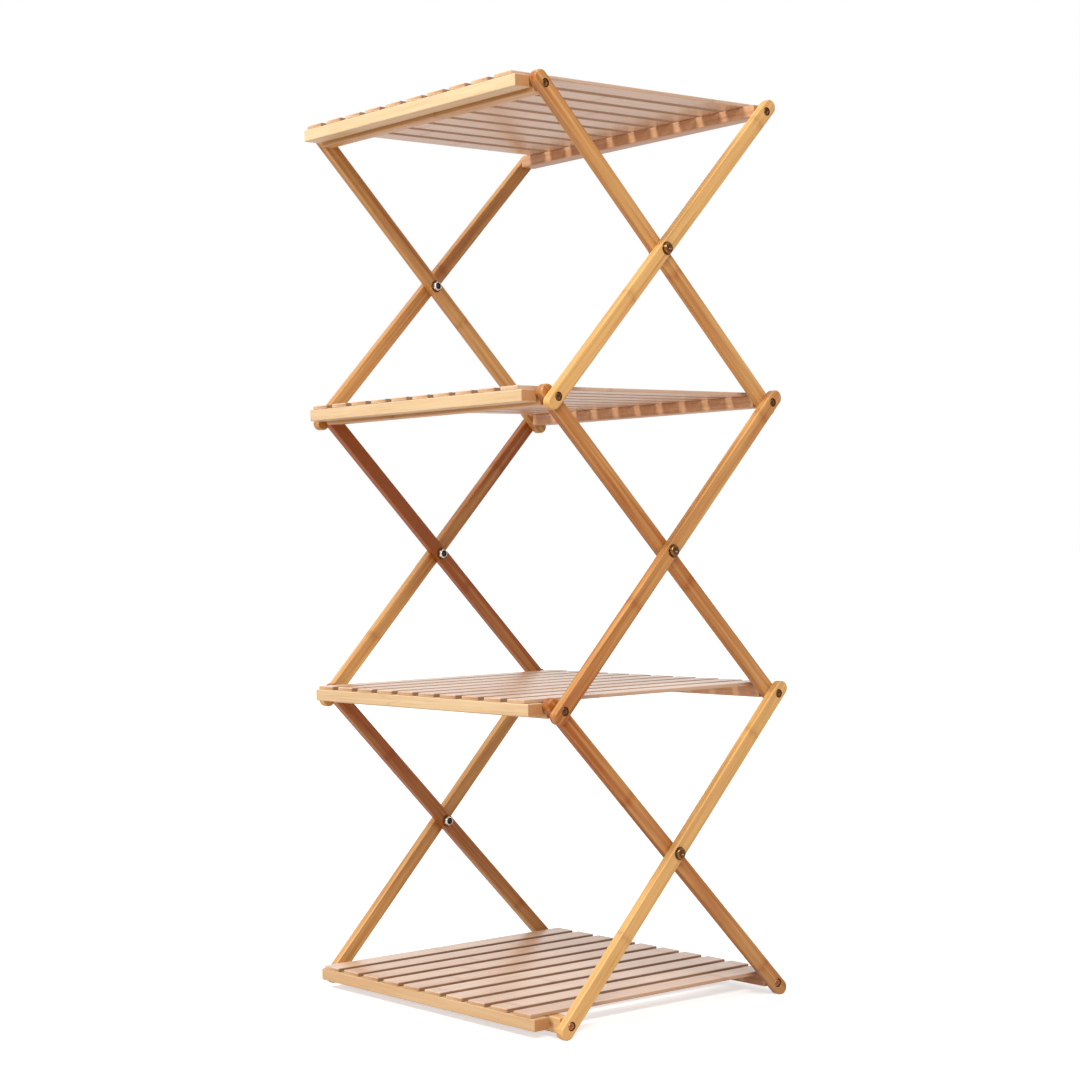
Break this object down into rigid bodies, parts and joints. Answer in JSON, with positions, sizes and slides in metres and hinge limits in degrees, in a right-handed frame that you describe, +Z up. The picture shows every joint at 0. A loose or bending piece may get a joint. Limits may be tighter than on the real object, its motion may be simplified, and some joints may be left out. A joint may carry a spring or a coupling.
{
  "type": "folding shelf rack",
  "caption": "Folding slatted shelf rack: level slatted shelves between two side frames of crossed bars that close like scissors once the shelves swing up.",
  "frame": {"origin": "on the floor, below the middle of the rack's outline", "axes": "+X from the left frame to the right frame, +Y from the front to the back, +Z up"},
  "size_m": [0.4308, 0.3442, 0.9688],
  "materials": {
    "bamboo_bar": "satin clear lacquer",
    "bamboo_rail": "satin clear lacquer",
    "bamboo_slat": "satin clear lacquer",
    "bamboo_batten": "satin clear lacquer",
    "aged_brass_screws": "aged, dull",
    "aged_brass_bolts": "aged, satin",
    "nickel_nuts": "bright",
    "steel_brads": "plain"
  },
  "bodies": {
    "foot_pivot": {"bottom_back_screws": "aged_brass_screws"},
    "bottom_inner_frame": {"bottom_left_inner_bar": "bamboo_bar", "bottom_right_inner_bar": "bamboo_bar", "lower_front_rail": "bamboo_rail", "lower_front_screws": "aged_brass_screws", "bottom_cross_bolts": "aged_brass_bolts", "bottom_cross_outer_washers": "aged_brass_bolts", "bottom_cross_inner_washers": "aged_brass_bolts", "bottom_cross_nuts": "nickel_nuts"},
    "bottom_outer_frame": {"bottom_left_outer_bar": "bamboo_bar", "bottom_right_outer_bar": "bamboo_bar", "bottom_front_rail": "bamboo_rail", "bottom_front_screws": "aged_brass_screws"},
    "middle_inner_frame": {"middle_left_inner_bar": "bamboo_bar", "middle_right_inner_bar": "bamboo_bar", "upper_front_rail": "bamboo_rail", "upper_front_screws": "aged_brass_screws", "middle_cross_bolts": "aged_brass_bolts", "middle_cross_outer_washers": "aged_brass_bolts", "middle_cross_inner_washers": "aged_brass_bolts", "middle_cross_nuts": "nickel_nuts"},
    "middle_outer_frame": {"middle_left_outer_bar": "bamboo_bar", "middle_right_outer_bar": "bamboo_bar"},
    "top_inner_frame": {"top_left_inner_bar": "bamboo_bar", "top_right_inner_bar": "bamboo_bar", "top_front_rail": "bamboo_rail", "top_front_screws": "aged_brass_screws", "top_cross_bolts": "aged_brass_bolts", "top_cross_outer_washers": "aged_brass_bolts", "top_cross_inner_washers": "aged_brass_bolts", "top_cross_nuts": "nickel_nuts"},
    "top_outer_frame": {"top_left_outer_bar": "bamboo_bar", "top_right_outer_bar": "bamboo_bar"},
    "bottom_shelf": {"bottom_shelf_slats": "bamboo_slat", "bottom_shelf_front_batten": "bamboo_batten", "bottom_shelf_back_batten": "bamboo_batten", "bottom_shelf_brads": "steel_brads"},
    "lower_shelf": {"lower_shelf_slats": "bamboo_slat", "lower_shelf_front_batten": "bamboo_batten", "lower_shelf_back_batten": "bamboo_batten", "lower_shelf_brads": "steel_brads", "lower_back_screws": "aged_brass_screws"},
    "upper_shelf": {"upper_shelf_slats": "bamboo_slat", "upper_shelf_front_batten": "bamboo_batten", "upper_shelf_back_batten": "bamboo_batten", "upper_shelf_brads": "steel_brads", "upper_back_screws": "aged_brass_screws"},
    "top_shelf": {"top_shelf_slats": "bamboo_slat", "top_shelf_front_batten": "bamboo_batten", "top_shelf_back_batten": "bamboo_batten", "top_shelf_brads": "steel_brads", "top_back_screws": "aged_brass_screws"}
  },
  "joints": [
    {"name": "foot_turn", "type": "hinge", "parent": "foot_pivot", "child": "bottom_inner_frame", "pos_m": [0, 0.15896, 0.01342], "axis": [-1, 0, 0], "range_deg": [0, 40]},
    {"name": "fold", "type": "hinge", "parent": "bottom_inner_frame", "child": "bottom_outer_frame", "pos_m": [0, 0.00896, 0.17042], "axis": [1, 0, 0], "range_deg": [0, 80]},
    {"name": "lower_back_pivot", "type": "hinge", "parent": "bottom_outer_frame", "child": "middle_inner_frame", "pos_m": [0, 0.15896, 0.32742], "axis": [-1, 0, 0], "range_deg": [0, 80]},
    {"name": "middle_cross_pivot", "type": "hinge", "parent": "middle_inner_frame", "child": "middle_outer_frame", "pos_m": [0, 0.00896, 0.48442], "axis": [1, 0, 0], "range_deg": [0, 80]},
    {"name": "upper_back_pivot", "type": "hinge", "parent": "middle_outer_frame", "child": "top_inner_frame", "pos_m": [0, 0.15896, 0.64142], "axis": [-1, 0, 0], "range_deg": [0, 80]},
    {"name": "top_cross_pivot", "type": "hinge", "parent": "top_inner_frame", "child": "top_outer_frame", "pos_m": [0, 0.00896, 0.79842], "axis": [1, 0, 0], "range_deg": [0, 80]},
    {"name": "bottom_shelf_lift", "type": "hinge", "parent": "bottom_inner_frame", "child": "bottom_shelf", "pos_m": [0, 0.15896, 0.01342], "axis": [-1, 0, 0], "range_deg": [0, 50]},
    {"name": "lower_shelf_lift", "type": "hinge", "parent": "middle_inner_frame", "child": "lower_shelf", "pos_m": [0, 0.15896, 0.32742], "axis": [-1, 0, 0], "range_deg": [0, 50]},
    {"name": "upper_shelf_lift", "type": "hinge", "parent": "top_inner_frame", "child": "upper_shelf", "pos_m": [0, 0.15896, 0.64142], "axis": [-1, 0, 0], "range_deg": [0, 50]},
    {"name": "top_shelf_lift", "type": "hinge", "parent": "top_outer_frame", "child": "top_shelf", "pos_m": [0, 0.15896, 0.95542], "axis": [-1, 0, 0], "range_deg": [0, 130]}
  ],
  "couplings": [
    {"joint": "foot_turn", "follows": "fold", "ratio": 0.5},
    {"joint": "lower_back_pivot", "follows": "fold", "ratio": 1},
    {"joint": "middle_cross_pivot", "follows": "fold", "ratio": 1},
    {"joint": "upper_back_pivot", "follows": "fold", "ratio": 1},
    {"joint": "top_cross_pivot", "follows": "fold", "ratio": 1},
    {"joint": "bottom_shelf_lift", "follows": "fold", "ratio": 0.625},
    {"joint": "lower_shelf_lift", "follows": "fold", "ratio": 0.625},
    {"joint": "upper_shelf_lift", "follows": "fold", "ratio": 0.625},
    {"joint": "top_shelf_lift", "follows": "fold", "ratio": 1.625}
  ]
}
